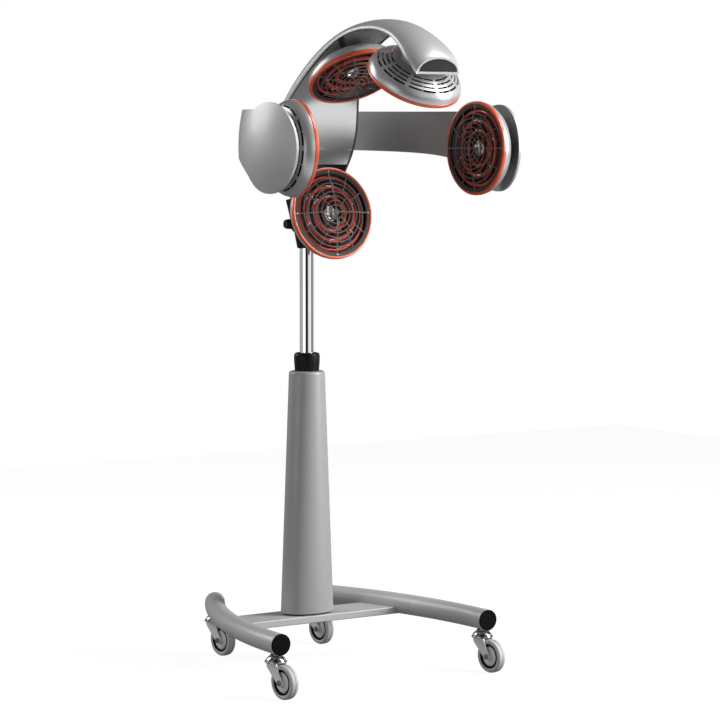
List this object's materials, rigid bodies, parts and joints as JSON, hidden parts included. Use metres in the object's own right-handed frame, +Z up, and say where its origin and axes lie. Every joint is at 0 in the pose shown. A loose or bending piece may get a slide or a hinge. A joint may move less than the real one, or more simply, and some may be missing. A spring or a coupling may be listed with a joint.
{
  "type": "hair color processor",
  "caption": "Mobile salon heater: round infrared lamps on an arched hood and two side arms surround the client's head, on a height-adjustable, swivelling mast over a castered base.",
  "frame": {"origin": "centre of the footprint, on the floor; the mast axis stands at x = 0, y = 0.1518 m", "axes": "+Z up, the client sits towards -Y and the lamps face them, +X to the client's left"},
  "size_m": [0.6186, 0.7398, 1.429],
  "materials": {
    "hood_silver": "satin silver-grey paint on moulded ABS",
    "cover_grey": "satin dark grey moulded ABS",
    "arm_grey": "satin mid grey paint on moulded ABS",
    "housing_grey": "fine-textured grey moulded heat-resistant plastic",
    "rim_orange": "glossy orange moulded plastic",
    "grille_grey": "satin dark grey powder coat",
    "reflector": "polished aluminium dish with a ring heating element",
    "neck_black": "black moulded nylon",
    "trim_silver": "bright plated trim",
    "badge_grey": "dark grey gloss plastic",
    "bracket_black": "black powder-coated die casting",
    "knob_black": "black moulded plastic",
    "mast_chrome": "polished chrome plate",
    "column_silver": "fine metallic silver-grey powder coat",
    "base_silver": "metallic grey powder coat",
    "cap_black": "black rubber",
    "caster_plate": "bright zinc plate",
    "tyre_grey": "grey thermoplastic rubber tread",
    "hub_metal": "silver-grey hub",
    "steel": "zinc-plated steel",
    "nylon": "natural nylon"
  },
  "bodies": {
    "base": {"base_tube_left": "base_silver", "base_tube_right": "base_silver", "tube_end_caps": "cap_black", "crossbar": "base_silver", "column_bolts": "steel", "caster_stems": "steel", "column_shroud": "column_silver", "guide_tube": "steel", "guide_bush": "nylon"},
    "collar": {"height_collar": "knob_black"},
    "mast": {"mast": "mast_chrome", "mast_foot": "nylon"},
    "neck": {"swivel_socket": "bracket_black"},
    "head": {"tilt_bracket": "bracket_black", "tilt_axle": "steel", "hood_shell": "hood_silver", "inner_cover": "cover_grey", "cover_screws": "steel", "badge_trim": "trim_silver", "badge_panel": "badge_grey", "arm_left": "arm_grey", "arm_right": "arm_grey", "lamp_necks": "neck_black"},
    "knob": {"tilt_knob": "knob_black"},
    "lamp_low": {"lamp_low_housing": "housing_grey", "lamp_low_rim": "rim_orange", "lamp_low_grille": "grille_grey", "lamp_low_emitter": "reflector"},
    "lamp_right": {"lamp_right_housing": "housing_grey", "lamp_right_rim": "rim_orange", "lamp_right_grille": "grille_grey", "lamp_right_emitter": "reflector"},
    "lamp_left": {"lamp_left_housing": "housing_grey", "lamp_left_rim": "rim_orange", "lamp_left_grille": "grille_grey", "lamp_left_emitter": "reflector"},
    "lamp_back": {"lamp_back_housing": "housing_grey", "lamp_back_rim": "rim_orange", "lamp_back_grille": "grille_grey", "lamp_back_emitter": "reflector"},
    "lamp_front": {"lamp_front_housing": "housing_grey", "lamp_front_rim": "rim_orange", "lamp_front_grille": "grille_grey", "lamp_front_emitter": "reflector"},
    "caster_front_right": {"caster_fork_front_right": "caster_plate", "caster_axle_front_right": "steel"},
    "wheel_front_right": {"caster_tyre_front_right": "tyre_grey", "caster_hub_front_right": "hub_metal"},
    "caster_front_left": {"caster_fork_front_left": "caster_plate", "caster_axle_front_left": "steel"},
    "wheel_front_left": {"caster_tyre_front_left": "tyre_grey", "caster_hub_front_left": "hub_metal"},
    "caster_rear_right": {"caster_fork_rear_right": "caster_plate", "caster_axle_rear_right": "steel"},
    "wheel_rear_right": {"caster_tyre_rear_right": "tyre_grey", "caster_hub_rear_right": "hub_metal"},
    "caster_rear_left": {"caster_fork_rear_left": "caster_plate", "caster_axle_rear_left": "steel"},
    "wheel_rear_left": {"caster_tyre_rear_left": "tyre_grey", "caster_hub_rear_left": "hub_metal"}
  },
  "joints": [
    {"name": "collar_twist", "type": "hinge", "parent": "base", "child": "collar", "pos_m": [0, 0.1518, 0.677], "axis": [0, 0, 1], "range_deg": [0, 90]},
    {"name": "mast_slide", "type": "slide", "parent": "base", "child": "mast", "axis": [0, 0, 1], "range_m": [-0.2, 0.2]},
    {"name": "neck_swivel", "type": "hinge", "parent": "mast", "child": "neck", "pos_m": [0, 0.1518, 0.932], "axis": [0, 0, 1], "range_deg": [-170, 170]},
    {"name": "head_tilt", "type": "hinge", "parent": "neck", "child": "head", "pos_m": [0, 0.1518, 0.9865], "axis": [1, 0, 0], "range_deg": [-10, 15]},
    {"name": "knob_turn", "type": "hinge", "parent": "head", "child": "knob", "pos_m": [-0.042, 0.1518, 0.9865], "axis": [1, 0, 0], "range_deg": [-180, 180]},
    {"name": "lamp_low_tilt", "type": "hinge", "parent": "head", "child": "lamp_low", "pos_m": [0, 0.08496, 1.00446], "axis": [1, 0, 0], "range_deg": [-8, 8]},
    {"name": "lamp_right_tilt", "type": "hinge", "parent": "head", "child": "lamp_right", "pos_m": [0.27297, -0.17044, 1.155], "axis": [0, 0, 1], "range_deg": [-8, 8]},
    {"name": "lamp_left_tilt", "type": "hinge", "parent": "head", "child": "lamp_left", "pos_m": [-0.27297, -0.17044, 1.155], "axis": [0, 0, 1], "range_deg": [-8, 8]},
    {"name": "lamp_back_tilt", "type": "hinge", "parent": "head", "child": "lamp_back", "pos_m": [0, -0.02388, 1.34431], "axis": [1, 0, 0], "range_deg": [-8, 8]},
    {"name": "lamp_front_tilt", "type": "hinge", "parent": "head", "child": "lamp_front", "pos_m": [0, -0.29776, 1.33181], "axis": [1, 0, 0], "range_deg": [-8, 8]},
    {"name": "swivel_front_right", "type": "hinge", "parent": "base", "child": "caster_front_right", "pos_m": [0.26681, -0.1532, 0.075], "axis": [0, 0, 1], "continuous": true},
    {"name": "roll_front_right", "type": "hinge", "parent": "caster_front_right", "child": "wheel_front_right", "pos_m": [0.27072, -0.18294, 0.0365], "axis": [0.9914, 0.1305, 0], "continuous": true},
    {"name": "swivel_front_left", "type": "hinge", "parent": "base", "child": "caster_front_left", "pos_m": [-0.26681, -0.1532, 0.075], "axis": [0, 0, 1], "continuous": true},
    {"name": "roll_front_left", "type": "hinge", "parent": "caster_front_left", "child": "wheel_front_left", "pos_m": [-0.26289, -0.18294, 0.0365], "axis": [0.9914, 0.1305, 0], "continuous": true},
    {"name": "swivel_rear_right", "type": "hinge", "parent": "base", "child": "caster_rear_right", "pos_m": [0.13224, 0.3388, 0.075], "axis": [0, 0, 1], "continuous": true},
    {"name": "roll_rear_right", "type": "hinge", "parent": "caster_rear_right", "child": "wheel_rear_right", "pos_m": [0.13615, 0.30906, 0.0365], "axis": [0.9914, 0.1305, 0], "continuous": true},
    {"name": "swivel_rear_left", "type": "hinge", "parent": "base", "child": "caster_rear_left", "pos_m": [-0.13224, 0.3388, 0.075], "axis": [0, 0, 1], "continuous": true},
    {"name": "roll_rear_left", "type": "hinge", "parent": "caster_rear_left", "child": "wheel_rear_left", "pos_m": [-0.12832, 0.30906, 0.0365], "axis": [0.9914, 0.1305, 0], "continuous": true}
  ]
}
